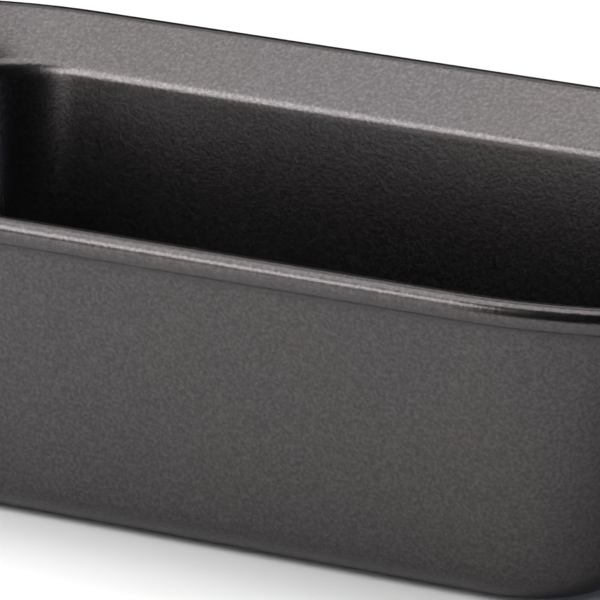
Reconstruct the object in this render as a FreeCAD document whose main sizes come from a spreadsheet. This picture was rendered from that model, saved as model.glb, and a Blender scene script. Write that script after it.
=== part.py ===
import FreeCAD, Part
import math
import os

import Sketcher

# A deep-drawn steel loaf pan: floor, drafted walls, a flange that slopes up and out all round the mouth
# and is wider at the two ends, where the pan is held, and an edge that is curled over a loop of wire.
# Millimetres. +Z up, X along the pan, origin at the middle of the face that it rests on.

DIMENSIONS = {
    "sheet": 0.8,             # thickness of the steel
    "cavity_length": 216.0,   # inside, where the walls meet the flange
    "cavity_width": 114.0,
    "crease_height": 63.0,    # from the resting face to that crease
    "wall_inset": 12.5,       # how far each wall leans in from the crease to the floor
    "floor_radius": 9.2,      # inside, between the floor and the walls
    "crease_radius": 5.5,     # inside, between the walls and the flange
    "side_run": 13.4,         # from the crease out to the middle of the curl, at the long sides
    "end_run": 36.0,          # and at the ends
    "flange_rise": 6.75,      # from the crease up to the middle of the curl
    "curl_radius": 2.8,       # outside radius of the curl
    "curl_join": 44.0,        # where the flange meets the curl, in degrees inward from its top
    "curl_start": 54.0,       # where the curled sheet begins, inside the flange's edge, in the same degrees
    "curl_end": 250.0,        # where it stops under the flange, in degrees outward from its top
    "wire_radius": 1.85,
    "ease_turn": 20.0,        # each corner opens and closes with a wide arc of this many degrees
    "rim_ease": 90.0,         # radii of the wide arcs and the tighter one between them: along the curl,
    "rim_corner": 42.0,
    "crease_ease": 32.0,      # inside, at the crease,
    "crease_corner": 25.0,
    "floor_ease": 26.0,       # and inside, where the floor and the walls would meet
    "floor_corner": 20.0,
}

# Sizes that follow from the driving ones, as expressions of the spreadsheet's cells.
WALL_ACROSS = "Dims.sheet * 1.02"
CREASE_ACROSS = "Dims.sheet * 0.9"
UNDER_CREASE = "Dims.crease_height - Dims.sheet * 0.62"
OUTER_FLOOR_RADIUS = "Dims.floor_radius + Dims.sheet"
OUTER_CREASE_RADIUS = "Dims.crease_radius + Dims.sheet"
BASE_INSET = f"Dims.wall_inset * Dims.crease_height / (Dims.crease_height - Dims.sheet) - {WALL_ACROSS}"
RIM_LENGTH = "Dims.cavity_length + 2 * Dims.end_run"
RIM_WIDTH = "Dims.cavity_width + 2 * Dims.side_run"
RIM_REACH = ("Dims.rim_ease * (1 + sin(Dims.ease_turn * 1 deg) - cos(Dims.ease_turn * 1 deg))"
             " + Dims.rim_corner * (cos(Dims.ease_turn * 1 deg) - sin(Dims.ease_turn * 1 deg))")
CURL_HEIGHT = "Dims.crease_height + Dims.flange_rise"
CURL_INSIDE = "Dims.curl_radius - Dims.sheet"
JOIN_IN = "Dims.curl_radius * sin(Dims.curl_join * 1 deg)"
FLANGE_TOP = f"{CURL_HEIGHT} + Dims.curl_radius * cos(Dims.curl_join * 1 deg)"
FLANGE_DROP = "Dims.sheet * 1.06"
FLANGE_UNDER = f"{FLANGE_TOP} - {FLANGE_DROP}"

UP = FreeCAD.Vector(0, 0, 1)
LEVEL_TOLERANCE = 0.001

document = FreeCAD.newDocument("loaf_pan")
dims = document.addObject("Spreadsheet::Sheet", "Dims")
for row, (alias, value) in enumerate(DIMENSIONS.items(), start=1):
    dims.set(f"A{row}", alias)
    dims.set(f"B{row}", str(value))
    dims.setAlias(f"B{row}", alias)
document.recompute()


def number(expression):
    """The value that an expression of the spreadsheet has now."""
    return float(dims.evalExpression(expression))


def point_at(centre, radius, degrees):
    turn = math.radians(degrees)
    return centre + radius * FreeCAD.Vector(math.cos(turn), math.sin(turn), 0)


# Sketches

def new_body(name):
    body = document.addObject("PartDesign::Body", name)
    body.Label = name
    body.Placement = FreeCAD.Placement()
    return body


def new_sketch(body, name, role, offset):
    """A sketch on one of the body's origin planes, moved along the plane's normal."""
    plane = next(item for item in body.Origin.OriginFeatures if item.Role == role)
    sketch = body.newObject("Sketcher::SketchObject", name)
    sketch.AttachmentSupport = [(plane, "")]
    sketch.MapMode = "FlatFace"
    sketch.setExpression("AttachmentOffset.Base.z", offset)
    return sketch


def constrain(sketch, *terms, name=None, expression=None):
    """Adds one constraint and, if it has a size, binds that size to the spreadsheet."""
    index = sketch.addConstraint(Sketcher.Constraint(*terms))
    if name:
        sketch.renameConstraint(index, name)
        sketch.setExpression(f"Constraints.{name}", expression)


def add_line(sketch, start, end):
    return sketch.addGeometry(Part.LineSegment(start, end), False)


def add_arc(sketch, centre, radius, start, end):
    circle = Part.Circle(centre, UP, radius)
    return sketch.addGeometry(Part.ArcOfCircle(circle, math.radians(start), math.radians(end)), False)


def eased_rectangle(body, name, height, length, width, ease, corner):
    """A level outline of four straight sides, whose corners are each three tangent arcs: wide, tight, wide.

    It is drawn at its true size and then held there by constraints that follow the spreadsheet.
    """
    sketch = new_sketch(body, name, "XY_Plane", height)
    half_length = number(length) / 2
    half_width = number(width) / 2
    wide = number(ease)
    tight = number(corner)
    turn = number("Dims.ease_turn")
    sine = math.sin(math.radians(turn))
    cosine = math.cos(math.radians(turn))
    reach = wide * (1 + sine - cosine) + tight * (cosine - sine)
    sides, wide_arcs, tight_arcs = [], [], []
    for quarter in range(4):
        across, along = (half_width, half_length) if quarter % 2 == 0 else (half_length, half_width)
        spin = FreeCAD.Rotation(UP, 90 * quarter)
        here = spin.multVec(FreeCAD.Vector(along - reach, -across, 0))
        sides.append(add_line(sketch, spin.multVec(FreeCAD.Vector(reach - along, -across, 0)), here))
        heading = 90 * quarter - 90
        for radius, sweep, arcs in ((wide, turn, wide_arcs),
                                    (tight, 90 - 2 * turn, tight_arcs),
                                    (wide, turn, wide_arcs)):
            centre = point_at(here, -radius, heading)
            arcs.append(add_arc(sketch, centre, radius, heading, heading + sweep))
            heading += sweep
            here = point_at(centre, radius, heading)
    front, right, back, left = sides
    for index in range(sketch.GeometryCount):
        constrain(sketch, "Tangent", index, 2, (index + 1) % sketch.GeometryCount, 1)
    for level in (front, back):
        constrain(sketch, "Horizontal", level)
    for upright in (right, left):
        constrain(sketch, "Vertical", upright)
    constrain(sketch, "Radius", wide_arcs[0], wide, name="wide", expression=ease)
    constrain(sketch, "Radius", tight_arcs[0], tight, name="tight", expression=corner)
    for arcs in (wide_arcs, tight_arcs):
        for index in arcs[1:]:
            constrain(sketch, "Equal", arcs[0], index)
    for order, index in enumerate(wide_arcs):
        constrain(sketch, "Angle", index, math.radians(turn),
                  name=f"turn_{order}", expression="Dims.ease_turn * 1 deg")
    for name, kind, points, size, whole in (("front", "DistanceY", (front, 1, -1, 1), half_width, width),
                                            ("right", "DistanceX", (-1, 1, right, 1), half_length, length),
                                            ("back", "DistanceY", (-1, 1, back, 1), half_width, width),
                                            ("left", "DistanceX", (left, 1, -1, 1), half_length, length)):
        constrain(sketch, kind, *points, size, name=name, expression=f"({whole}) / 2")
    return sketch


def cavity_outline(body, name, height, growth, ease, corner):
    """An outline parallel to the cavity's crease, grown by so much on every side."""
    return eased_rectangle(body, name, height, f"Dims.cavity_length + 2 * ({growth})",
                           f"Dims.cavity_width + 2 * ({growth})", ease, corner)


def join_outline(body, name, height):
    """The line along which the flange runs into the curl."""
    return eased_rectangle(body, name, height,
                           f"{RIM_LENGTH} - 2 * {JOIN_IN}", f"{RIM_WIDTH} - 2 * {JOIN_IN}",
                           f"Dims.rim_ease - {JOIN_IN}", f"Dims.rim_corner - {JOIN_IN}")


def rim_path(body, name):
    """The line that the middle of the curl, and of the wire in it, follows."""
    return eased_rectangle(body, name, CURL_HEIGHT, RIM_LENGTH, RIM_WIDTH,
                           "Dims.rim_ease", "Dims.rim_corner")


def rim_section(body, name):
    """A sketch across the rim, where the straight stretch of the front side begins, and its centre there."""
    sketch = new_sketch(body, name, "YZ_Plane", f"{RIM_REACH} - ({RIM_LENGTH}) / 2")
    return sketch, FreeCAD.Vector(-number(RIM_WIDTH) / 2, number(CURL_HEIGHT), 0)


def hold_on_rim(sketch, curve, centre):
    constrain(sketch, "DistanceX", curve, 3, -1, 1, -centre.x, name="out", expression=f"({RIM_WIDTH}) / 2")
    constrain(sketch, "DistanceY", -1, 1, curve, 3, centre.y, name="up", expression=CURL_HEIGHT)


def curl_section(body):
    """The rolled edge: a ring of sheet that is open under the flange."""
    sketch, centre = rim_section(body, "curl_section")
    outer_radius = number("Dims.curl_radius")
    inner_radius = number(CURL_INSIDE)
    start = 90 - number("Dims.curl_start")
    end = 90 + number("Dims.curl_end")
    outer = add_arc(sketch, centre, outer_radius, start, end)
    inner = add_arc(sketch, centre, inner_radius, start, end)
    hold_on_rim(sketch, outer, centre)
    constrain(sketch, "Coincident", outer, 3, inner, 3)
    constrain(sketch, "Radius", outer, outer_radius, name="outside", expression="Dims.curl_radius")
    constrain(sketch, "Radius", inner, inner_radius, name="inside", expression=CURL_INSIDE)
    for name, tip, heading, expression in (("start", 1, start, "(90 - Dims.curl_start) * 1 deg"),
                                           ("end", 2, end - 360, "(Dims.curl_end - 270) * 1 deg")):
        cap = add_line(sketch, point_at(centre, inner_radius, heading),
                       point_at(centre, outer_radius, heading))
        constrain(sketch, "Coincident", cap, 1, inner, tip)
        constrain(sketch, "Coincident", cap, 2, outer, tip)
        constrain(sketch, "PointOnObject", outer, 3, cap)
        constrain(sketch, "Angle", cap, math.radians(heading), name=name, expression=expression)
    return sketch


def wire_section(body):
    sketch, centre = rim_section(body, "wire_section")
    radius = number("Dims.wire_radius")
    circle = sketch.addGeometry(Part.Circle(centre, UP, radius), False)
    hold_on_rim(sketch, circle, centre)
    constrain(sketch, "Radius", circle, radius, name="wire", expression="Dims.wire_radius")
    return sketch


# Features

def loft(body, kind, name, upper, lower):
    """A ruled solid between two outlines, added to the body or taken from it."""
    feature = body.newObject(f"PartDesign::{kind}", name)
    feature.Profile = (upper, [""])
    feature.Sections = [(lower, [""])]
    feature.Ruled = True
    document.recompute()
    return feature


def fillet(body, name, base, height, radius):
    """Rounds every edge of the base feature that lies wholly at one height."""
    level = number(height)
    edges = [f"Edge{index}" for index, edge in enumerate(base.Shape.Edges, start=1)
             if abs(edge.BoundBox.ZMin - level) < LEVEL_TOLERANCE
             and abs(edge.BoundBox.ZMax - level) < LEVEL_TOLERANCE]
    feature = body.newObject("PartDesign::Fillet", name)
    feature.Base = (base, edges)
    feature.setExpression("Radius", radius)
    document.recompute()
    return feature


def sweep(body, name, section, path):
    feature = body.newObject("PartDesign::AdditivePipe", name)
    feature.Profile = (section, [""])
    feature.Spine = (path, [""])
    document.recompute()
    return feature


# The two pieces

def build_pan_body():
    """The pressed shell: built solid to its outer faces, hollowed, rounded, and given its curl."""
    body = new_body("pan_body")
    base = cavity_outline(body, "base_outside", "0", f"-({BASE_INSET})",
                          f"Dims.floor_ease + {WALL_ACROSS}", f"Dims.floor_corner + {WALL_ACROSS}")
    under_crease = cavity_outline(body, "crease_outside", UNDER_CREASE, CREASE_ACROSS,
                                  f"Dims.crease_ease + {CREASE_ACROSS}",
                                  f"Dims.crease_corner + {CREASE_ACROSS}")
    under_join = join_outline(body, "flange_underside", FLANGE_UNDER)
    loft(body, "AdditiveLoft", "walls", under_crease, base)
    loft(body, "AdditiveLoft", "flange", under_join, under_crease)
    edge = body.newObject("PartDesign::Pad", "flange_edge")
    edge.Profile = (under_join, [""])
    edge.setExpression("Length", FLANGE_DROP)
    document.recompute()

    floor = cavity_outline(body, "floor_inside", "Dims.sheet", "-Dims.wall_inset",
                           "Dims.floor_ease", "Dims.floor_corner")
    crease = cavity_outline(body, "crease_inside", "Dims.crease_height", "0",
                            "Dims.crease_ease", "Dims.crease_corner")
    join = join_outline(body, "flange_top", FLANGE_TOP)
    loft(body, "SubtractiveLoft", "cavity", crease, floor)
    shell = loft(body, "SubtractiveLoft", "mouth", join, crease)

    shell = fillet(body, "floor_edge", shell, "Dims.sheet", "Dims.floor_radius")
    shell = fillet(body, "base_edge", shell, "0", OUTER_FLOOR_RADIUS)
    shell = fillet(body, "crease_edge", shell, "Dims.crease_height", "Dims.crease_radius")
    fillet(body, "under_crease_edge", shell, UNDER_CREASE, OUTER_CREASE_RADIUS)
    sweep(body, "curl", curl_section(body), rim_path(body, "curl_path"))
    return body


def build_rim_wire():
    """The closed loop of round wire inside the curl."""
    body = new_body("rim_wire")
    sweep(body, "loop", wire_section(body), rim_path(body, "wire_path"))
    return body


pieces = [build_pan_body(), build_rim_wire()]
document.recompute()

for item in document.Objects:
    if "Invalid" in item.State or "Error" in item.State:
        raise RuntimeError(f"{item.Label} did not build: {item.State}")
for piece in pieces:
    if piece.Shape.isNull() or not piece.Shape.isValid() or len(piece.Shape.Solids) != 1:
        raise RuntimeError(f"{piece.Label} is not one valid solid")

os.makedirs("parts", exist_ok=True)
for piece in pieces:
    piece.Shape.exportStep(f"parts/{piece.Label}.step")
    box = piece.Shape.optimalBoundingBox(True, False)
    print(f"{piece.Label}: {box.XLength:.2f} x {box.YLength:.2f} x {box.ZLength:.2f} mm, "
          f"{piece.Shape.Volume / 1000:.2f} cubic cm")
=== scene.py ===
import math

import bmesh
import bpy
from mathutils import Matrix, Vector


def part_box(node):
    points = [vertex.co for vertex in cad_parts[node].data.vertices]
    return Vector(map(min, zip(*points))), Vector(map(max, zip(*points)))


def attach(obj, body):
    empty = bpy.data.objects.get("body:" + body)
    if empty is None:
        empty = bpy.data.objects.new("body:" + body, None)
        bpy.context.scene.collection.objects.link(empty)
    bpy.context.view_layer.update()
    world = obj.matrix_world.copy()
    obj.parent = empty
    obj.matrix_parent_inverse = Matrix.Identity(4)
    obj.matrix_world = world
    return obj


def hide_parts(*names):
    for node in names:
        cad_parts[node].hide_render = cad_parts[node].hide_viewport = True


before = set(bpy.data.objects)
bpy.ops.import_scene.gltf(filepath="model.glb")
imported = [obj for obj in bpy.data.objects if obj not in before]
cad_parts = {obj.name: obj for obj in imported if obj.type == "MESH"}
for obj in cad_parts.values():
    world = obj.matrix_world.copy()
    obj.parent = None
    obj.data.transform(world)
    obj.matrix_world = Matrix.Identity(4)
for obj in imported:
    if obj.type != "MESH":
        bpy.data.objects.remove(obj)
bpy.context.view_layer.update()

# Metres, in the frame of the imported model: +Z up, X along the pan, origin under its middle.
pan_low, pan_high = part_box("pan_body")
wire_low, wire_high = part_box("rim_wire")

UP = Vector((0, 0, 1))

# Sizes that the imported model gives.
WIRE_RADIUS = (wire_high.z - wire_low.z) / 2
CURL_HEIGHT = (wire_high.z + wire_low.z) / 2
CURL_RADIUS = pan_high.z - CURL_HEIGHT
RIM_LENGTH = 2 * (wire_high.x - WIRE_RADIUS)
RIM_WIDTH = 2 * (wire_high.y - WIRE_RADIUS)

# Driving sizes of the pressing. A run is the flange's width from the crease to the wire's middle.
SHEET = 0.0008
END_RUN = 0.036
SIDE_RUN = 0.0134
FLANGE_RISE = 0.00675
WALL_INSET = 0.0125
FLOOR_RADIUS = 0.0092
CREASE_RADIUS = 0.0055
CURL_END = math.radians(250)
EASE_TURN = math.radians(20)

# Radii of each outline's corners: the wide arcs at its two ends, then the tight one between them.
RIM_ARCS = (0.090, 0.042)
CREASE_ARCS = (0.032, 0.025)
FLOOR_ARCS = (0.026, 0.020)

# Sizes that follow from them. The last two set the sheet's lower face off from its upper one at the crease.
CREASE_HEIGHT = CURL_HEIGHT - FLANGE_RISE
CAVITY_LENGTH = RIM_LENGTH - 2 * END_RUN
CAVITY_WIDTH = RIM_WIDTH - 2 * SIDE_RUN
WALL_LEAN = WALL_INSET / (CREASE_HEIGHT - SHEET)
WALL_ACROSS = SHEET * math.hypot(1, WALL_LEAN)
BASE_INSET = WALL_LEAN * CREASE_HEIGHT - WALL_ACROSS
CREASE_ACROSS = 0.9 * SHEET
UNDER_CREASE = CREASE_HEIGHT - 0.62 * SHEET

# How finely the mesh follows each curve.
EASE_STEPS = 6
CORNER_STEPS = 16
LONG_STEPS = 30
SHORT_STEPS = 14
WALL_ROWS = 18
FLANGE_ROWS = 9
FLOOR_BEND_STEPS = 12
CREASE_BEND_STEPS = 10
CURL_STEPS = 64
EDGE_STEPS = 5
WIRE_STEPS = 32
RING_INSETS = (0.006, 0.001)


def heading_vector(angle):
    return Vector((math.cos(angle), math.sin(angle), 0))


def eased_outline(length, width, ease, corner):
    """Stations round a rectangle whose corners are each three tangent arcs: wide, tight, wide.

    A station is a point and the way outward there. Outlines made here have their stations in the same
    order, so those of two outlines that share a number face the same way.
    """
    sine, cosine = math.sin(EASE_TURN), math.cos(EASE_TURN)
    reach = ease * (1 + sine - cosine) + corner * (cosine - sine)
    arcs = ((ease, EASE_TURN, EASE_STEPS),
            (corner, math.pi / 2 - 2 * EASE_TURN, CORNER_STEPS),
            (ease, EASE_TURN, EASE_STEPS))
    sides = ((width / 2, length / 2, LONG_STEPS), (length / 2, width / 2, SHORT_STEPS)) * 2
    stations = []
    for quarter, (across, along, steps) in enumerate(sides):
        heading = math.pi / 2 * (quarter - 1)
        outward = heading_vector(heading)
        onward = heading_vector(heading + math.pi / 2)
        start = outward * across - onward * (along - reach)
        here = outward * across + onward * (along - reach)
        stations += [(start.lerp(here, step / steps), outward) for step in range(steps)]
        for radius, turn, count in arcs:
            centre = here - radius * heading_vector(heading)
            for step in range(count):
                facing = heading_vector(heading + turn * step / count)
                stations.append((centre + radius * facing, facing))
            heading += turn
            here = centre + radius * heading_vector(heading)
    return stations


def grown_outline(growth, arcs, height):
    """The cavity's outline at the crease, grown by so much on every side, at a height."""
    outline = eased_outline(CAVITY_LENGTH + 2 * growth, CAVITY_WIDTH + 2 * growth, *arcs)
    return [point + UP * height for point, outward in outline]


def bend(before, corner, after, radius, steps):
    """The arc that rounds a corner between two straight lines, from one tangent point to the other."""
    back = (before - corner).normalized()
    onward = (after - corner).normalized()
    half = back.angle(onward) / 2
    reach = radius / math.tan(half)
    centre = corner + (back + onward).normalized() * (radius / math.sin(half))
    first = (corner + back * reach - centre).normalized()
    last = (corner + onward * reach - centre).normalized()
    return [centre + radius * first.slerp(last, step / steps) for step in range(steps + 1)]


def between(start, end, rows):
    """Points inside a straight line, closer together near its ends."""
    shares = [(1 - math.cos(math.pi * row / rows)) / 2 for row in range(1, rows)]
    return [start.lerp(end, share) for share in shares]


def ring_points(centre, outward, radius, start, end, steps):
    """Points on a curl's arc. Its angles go from straight up over the outward side."""
    angles = [start + (end - start) * step / steps for step in range(steps + 1)]
    return [centre + radius * (math.sin(angle) * outward + math.cos(angle) * UP) for angle in angles]


def cut_edge(centre, outward, middle_radius):
    """The rounded edge of the sheet where the curl stops, without its two ends."""
    spoke = math.sin(CURL_END) * outward + math.cos(CURL_END) * UP
    onward = math.cos(CURL_END) * outward - math.sin(CURL_END) * UP
    turns = [math.pi * step / EDGE_STEPS for step in range(1, EDGE_STEPS)]
    middle = centre + spoke * middle_radius
    return [middle + SHEET / 2 * (math.cos(turn) * spoke + math.sin(turn) * onward) for turn in turns]


def sheet_section(outward, floor, crease, rim, under_crease, base):
    """One line across the sheet: from the floor up the inside, round the curl and down the outside."""
    run = (rim - crease).dot(outward)
    slope = math.atan2(FLANGE_RISE, run)
    tangent = slope + math.asin(CURL_RADIUS / math.hypot(FLANGE_RISE, run))
    outside = ring_points(rim, outward, CURL_RADIUS, -tangent, CURL_END, CURL_STEPS)
    inside = ring_points(rim, outward, CURL_RADIUS - SHEET, CURL_END, -tangent, CURL_STEPS)

    floor_bend = bend(floor - outward, floor, crease, FLOOR_RADIUS, FLOOR_BEND_STEPS)
    crease_bend = bend(floor, crease, outside[0], CREASE_RADIUS, CREASE_BEND_STEPS)
    under_bend = bend(inside[-1], under_crease, base, CREASE_RADIUS + SHEET, CREASE_BEND_STEPS)
    base_bend = bend(under_crease, base, base - outward, FLOOR_RADIUS + SHEET, FLOOR_BEND_STEPS)
    return ([floor_bend[0] - outward * inset for inset in RING_INSETS]
            + floor_bend
            + between(floor_bend[-1], crease_bend[0], WALL_ROWS)
            + crease_bend
            + between(crease_bend[-1], outside[0], FLANGE_ROWS)
            + outside
            + cut_edge(rim, outward, CURL_RADIUS - SHEET / 2)
            + inside
            + between(inside[-1], under_bend[0], FLANGE_ROWS)
            + under_bend
            + between(under_bend[-1], base_bend[0], WALL_ROWS)
            + base_bend
            + [base_bend[-1] - outward * inset for inset in reversed(RING_INSETS)])


def skin(name, sections, capped):
    """A closed smooth mesh over sections that stand side by side round a loop.

    A capped one ends in a flat face at each end of its sections. An uncapped one has closed sections.
    """
    mesh = bmesh.new()
    columns = [[mesh.verts.new(point) for point in section] for section in sections]
    rows = len(sections[0])
    for index, column in enumerate(columns):
        following = columns[(index + 1) % len(columns)]
        for row in range(rows - 1 if capped else rows):
            upper = (row + 1) % rows
            mesh.faces.new((column[row], following[row], following[upper], column[upper]))
    if capped:
        mesh.faces.new([column[0] for column in columns])
        mesh.faces.new([column[-1] for column in columns])
    bmesh.ops.recalc_face_normals(mesh, faces=mesh.faces)
    for face in mesh.faces:
        face.smooth = True
    data = bpy.data.meshes.new(name)
    mesh.to_mesh(data)
    mesh.free()
    piece = bpy.data.objects.new(name, data)
    bpy.context.scene.collection.objects.link(piece)
    return piece


def make_pan():
    """The pressed and coated shell, from its floor to the curl at its edge."""
    rim = eased_outline(RIM_LENGTH, RIM_WIDTH, *RIM_ARCS)
    floor = grown_outline(-WALL_INSET, FLOOR_ARCS, SHEET)
    crease = grown_outline(0, CREASE_ARCS, CREASE_HEIGHT)
    under_crease = grown_outline(CREASE_ACROSS, [arc + CREASE_ACROSS for arc in CREASE_ARCS], UNDER_CREASE)
    base = grown_outline(-BASE_INSET, [arc + WALL_ACROSS for arc in FLOOR_ARCS], pan_low.z)
    sections = [sheet_section(outward, floor[index], crease[index], point + UP * CURL_HEIGHT,
                              under_crease[index], base[index])
                for index, (point, outward) in enumerate(rim)]
    return skin("pan_shell", sections, True)


def make_wire():
    """The loop of round wire inside the curl."""
    full_turn = 2 * math.pi
    sections = [ring_points(point + UP * CURL_HEIGHT, outward, WIRE_RADIUS, 0, full_turn, WIRE_STEPS)[:-1]
                for point, outward in eased_outline(RIM_LENGTH, RIM_WIDTH, *RIM_ARCS)]
    return skin("curl_wire", sections, False)


# Materials

def new_material(name):
    material = bpy.data.materials.new(name)
    material.use_nodes = True
    material.node_tree.nodes.clear()
    return material


def add_node(material, kind, **inputs):
    """A node with its sockets set: a value is a number, a colour, or another node's output to link."""
    node = material.node_tree.nodes.new(kind)
    for name, value in inputs.items():
        socket = node.inputs[name.replace("_", " ")]
        if isinstance(value, bpy.types.NodeSocket):
            material.node_tree.links.new(value, socket)
        else:
            socket.default_value = value
    return node


def object_point(material):
    """The place on the piece, in its own metres, that the textures follow."""
    return add_node(material, "ShaderNodeTexCoord").outputs["Object"]


def noise(material, point, size, detail=2.0, roughness=0.5):
    """Noise whose blotches are about so many metres across."""
    node = add_node(material, "ShaderNodeTexNoise", Vector=point, Scale=1 / size, Detail=detail,
                    Roughness=roughness)
    return node.outputs["Fac"]


def ramp(material, value, *stops):
    """Colours that follow a value from 0 to 1. A stop is a place and a colour."""
    node = add_node(material, "ShaderNodeValToRGB", Fac=value)
    elements = node.color_ramp.elements
    while len(elements) < len(stops):
        elements.new(1.0)
    for element, (place, colour) in zip(elements, stops):
        element.position = place
        element.color = (*colour, 1.0)
    return node.outputs["Color"]


def spread(material, value, low, high):
    """A value from 0 to 1, spread from low to high."""
    node = add_node(material, "ShaderNodeMapRange", Value=value, To_Min=low, To_Max=high)
    return node.outputs["Result"]


def downward(material):
    """1 where the surface leans down, as the outer face of the sheet does, and 0 where it leans up."""
    normal = add_node(material, "ShaderNodeTexCoord").outputs["Normal"]
    height = add_node(material, "ShaderNodeSeparateXYZ", Vector=normal).outputs["Z"]
    node = add_node(material, "ShaderNodeMapRange", Value=height, From_Min=-0.04, From_Max=-0.12)
    return node.outputs["Result"]


def add(material, first, second):
    """The sum of two values."""
    node = material.node_tree.nodes.new("ShaderNodeMath")
    node.operation = "ADD"
    material.node_tree.links.new(first, node.inputs[0])
    material.node_tree.links.new(second, node.inputs[1])
    return node.outputs[0]


def multiply(material, first, second):
    """One colour tinted by another."""
    node = material.node_tree.nodes.new("ShaderNodeMix")
    node.data_type = "RGBA"
    node.blend_type = "MULTIPLY"
    node.inputs[0].default_value = 1.0
    material.node_tree.links.new(first, node.inputs[6])
    material.node_tree.links.new(second, node.inputs[7])
    return node.outputs[2]


def bump(material, height, depth, strength, under=None):
    """A bumped normal: height from 0 to 1 stands for so many metres."""
    node = add_node(material, "ShaderNodeBump", Height=height, Distance=depth, Strength=strength)
    if under:
        material.node_tree.links.new(under, node.inputs["Normal"])
    return node.outputs["Normal"]


def finish_material(material, **inputs):
    shader = add_node(material, "ShaderNodeBsdfPrincipled", **inputs)
    output = material.node_tree.nodes.new("ShaderNodeOutputMaterial")
    material.node_tree.links.new(shader.outputs["BSDF"], output.inputs["Surface"])
    return material


def nonstick_material():
    """Charcoal non-stick coating with fine metal flake, satin, over an orange-peel surface.

    The outer face of the sheet is a little rougher than the face that holds the loaf.
    """
    material = new_material("nonstick_coating")
    point = object_point(material)
    flake = noise(material, point, 0.0008, 2.0, 0.55)
    peel = noise(material, point, 0.0016, 2.0)
    cloud = noise(material, point, 0.055, 1.0)
    speckle = ramp(material, flake,
                   (0.28, (0.0590, 0.0550, 0.0560)),
                   (0.52, (0.0770, 0.0720, 0.0735)),
                   (0.74, (0.1010, 0.0945, 0.0960)))
    tint = ramp(material, cloud,
                (0.30, (0.95, 0.96, 0.98)),
                (0.70, (1.0, 0.99, 0.97)))
    satin = spread(material, peel, 0.21, 0.27)
    outer_extra = spread(material, downward(material), 0.0, 0.13)
    texture = bump(material, flake, 0.00003, 0.7, bump(material, peel, 0.00002, 0.7))
    return finish_material(material,
                           Base_Color=multiply(material, speckle, tint),
                           Metallic=1.0,
                           Roughness=add(material, satin, outer_extra),
                           Normal=texture)


def wire_material():
    """Drawn steel wire, dull, with a faint brown film."""
    material = new_material("drawn_wire")
    point = object_point(material)
    grain = noise(material, point, 0.0006, 3.0)
    film = noise(material, point, 0.009, 3.0)
    colour = ramp(material, film,
                  (0.35, (0.46, 0.45, 0.44)),
                  (0.65, (0.30, 0.26, 0.22)))
    return finish_material(material,
                           Base_Color=colour,
                           Metallic=1.0,
                           Roughness=spread(material, grain, 0.32, 0.55),
                           Normal=bump(material, grain, 0.00003, 0.4))


def floor_material():
    """Plain pale studio floor."""
    material = new_material("pale_floor")
    tone = ramp(material, noise(material, object_point(material), 0.5, 1.0),
                (0.0, (0.86, 0.86, 0.86)),
                (1.0, (0.90, 0.90, 0.90)))
    return finish_material(material, Base_Color=tone, Roughness=0.8)


# The pieces and what they stand for

def place(piece, node, slot, material):
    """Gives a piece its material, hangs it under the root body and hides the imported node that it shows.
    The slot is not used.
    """
    piece.data.materials.append(material)
    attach(piece, "root")
    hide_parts(node)


place(make_pan(), "pan_body", "nonstick_steel", nonstick_material())
place(make_wire(), "rim_wire", "bare_wire", wire_material())


# Floor, light and camera

FLOOR_HALF = 8.0

WHITE = (1.0, 0.99, 0.98)
WARM = (1.0, 0.98, 0.97)
COOL = (0.78, 0.82, 1.0)

# Name, azimuth and elevation in degrees, distance, width and height, radiance, colour.
SOFTBOXES = (("left_softbox", -68, 66, 1.2, (0.80, 1.05), 3.4, WHITE),
             ("front_softbox", -43, 34, 1.3, (0.86, 0.47), 7.1, WARM),
             ("fill_softbox", -24, 12, 1.4, (0.32, 0.32), 2.1, WARM),
             ("low_softbox", -45, 1.5, 1.4, (1.15, 0.19), 3.1, WARM),
             ("back_softbox", -142, 52, 1.2, (0.9, 0.5), 1.5, WARM),
             ("rear_softbox", 150, 45, 1.4, (0.9, 0.7), 1.2, WARM),
             ("right_softbox", 52, 6, 0.9, (0.26, 0.22), 6.0, COOL))

BROAD_LIGHT_STRENGTH = 1.0
BROAD_LIGHT_SPREAD = math.radians(90)
NEAR_LIGHT_POWER = 1.2
NEAR_LIGHT_SIZE = 0.3
NEAR_LIGHT_PLACE = (-0.22, -0.28, 0.4)

WORLD_COLOUR = (0.80, 0.88, 1.0, 1.0)
WORLD_STRENGTH = 0.04

CAMERA_TARGET = Vector((0, 0.0129, 0.0358))
CAMERA_DISTANCE = 1.711
CAMERA_AZIMUTH = 29.5
CAMERA_ELEVATION = 17.33
SENSOR_WIDTH = 36.0
FOCAL_LENGTH = 498.0


def make_floor():
    """A level sheet under the pan."""
    corners = [(-FLOOR_HALF, -FLOOR_HALF), (FLOOR_HALF, -FLOOR_HALF), (FLOOR_HALF, FLOOR_HALF),
               (-FLOOR_HALF, FLOOR_HALF)]
    data = bpy.data.meshes.new("floor")
    data.from_pydata([(x, y, pan_low.z) for x, y in corners], [], [(0, 1, 2, 3)])
    data.materials.append(floor_material())
    floor = bpy.data.objects.new("floor", data)
    bpy.context.scene.collection.objects.link(floor)


def way(azimuth, elevation):
    """The direction from the pan to something at so many degrees: azimuth 0 is -Y and 90 is +X."""
    azimuth = math.radians(azimuth)
    elevation = math.radians(elevation)
    return Vector((math.sin(azimuth) * math.cos(elevation),
                   -math.cos(azimuth) * math.cos(elevation),
                   math.sin(elevation)))


def aim(item, target):
    item.rotation_euler = (target - item.location).to_track_quat("-Z", "Y").to_euler()


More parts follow.
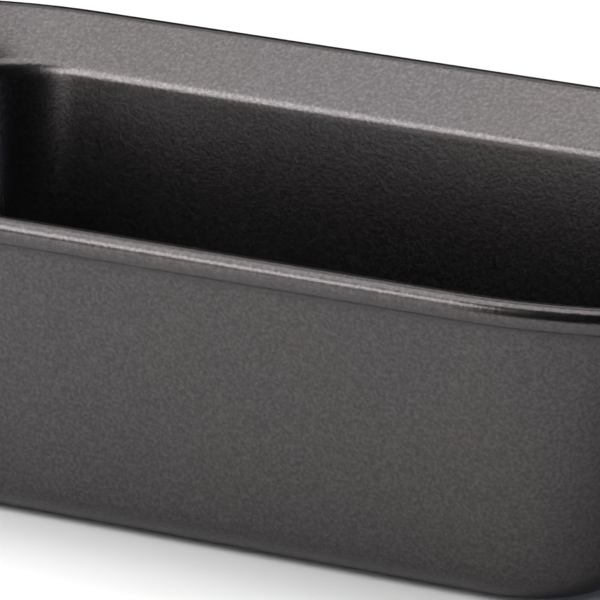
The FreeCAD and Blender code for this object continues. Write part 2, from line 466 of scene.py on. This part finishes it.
def add_softbox(name, azimuth, elevation, distance, size, radiance, colour):
    """A rectangular softbox that faces the pan. Its radiance is the brightness of its lit face."""
    data = bpy.data.lights.new(name, "AREA")
    data.shape = "RECTANGLE"
    data.size, data.size_y = size
    data.energy = radiance * math.pi * size[0] * size[1]
    data.color = colour
    light = bpy.data.objects.new(name, data)
    target = Vector((0, 0, CREASE_HEIGHT))
    light.location = target + distance * way(azimuth, elevation)
    light.visible_camera = False
    bpy.context.scene.collection.objects.link(light)
    aim(light, target)


def add_floor_lights():
    """Lights that whiten the floor, more at its left, and leave no mirror image of themselves in the pan."""
    broad = bpy.data.lights.new("floor_light", "SUN")
    broad.energy = BROAD_LIGHT_STRENGTH
    broad.angle = BROAD_LIGHT_SPREAD
    near = bpy.data.lights.new("left_floor_light", "AREA")
    near.size = NEAR_LIGHT_SIZE
    near.energy = NEAR_LIGHT_POWER
    for data, location in ((broad, UP), (near, NEAR_LIGHT_PLACE)):
        light = bpy.data.objects.new(data.name, data)
        light.location = location
        light.visible_glossy = False
        light.visible_camera = False
        bpy.context.scene.collection.objects.link(light)


def make_world():
    """A faint bluish light from all round."""
    world = bpy.data.worlds.new("studio")
    world.use_nodes = True
    background = world.node_tree.nodes["Background"]
    background.inputs["Color"].default_value = WORLD_COLOUR
    background.inputs["Strength"].default_value = WORLD_STRENGTH
    bpy.context.scene.world = world


def make_camera():
    """A view a little down on the pan's long side, from the right, through a long lens."""
    data = bpy.data.cameras.new("camera")
    data.sensor_width = SENSOR_WIDTH
    data.lens = FOCAL_LENGTH
    data.clip_start = 0.05
    data.clip_end = 50.0
    camera = bpy.data.objects.new("camera", data)
    camera.location = CAMERA_TARGET + CAMERA_DISTANCE * way(CAMERA_AZIMUTH, CAMERA_ELEVATION)
    bpy.context.scene.collection.objects.link(camera)
    aim(camera, CAMERA_TARGET)
    bpy.context.scene.camera = camera


make_floor()
for softbox in SOFTBOXES:
    add_softbox(*softbox)
add_floor_lights()
make_world()
make_camera()
bpy.context.scene.view_settings.view_transform = "Standard"
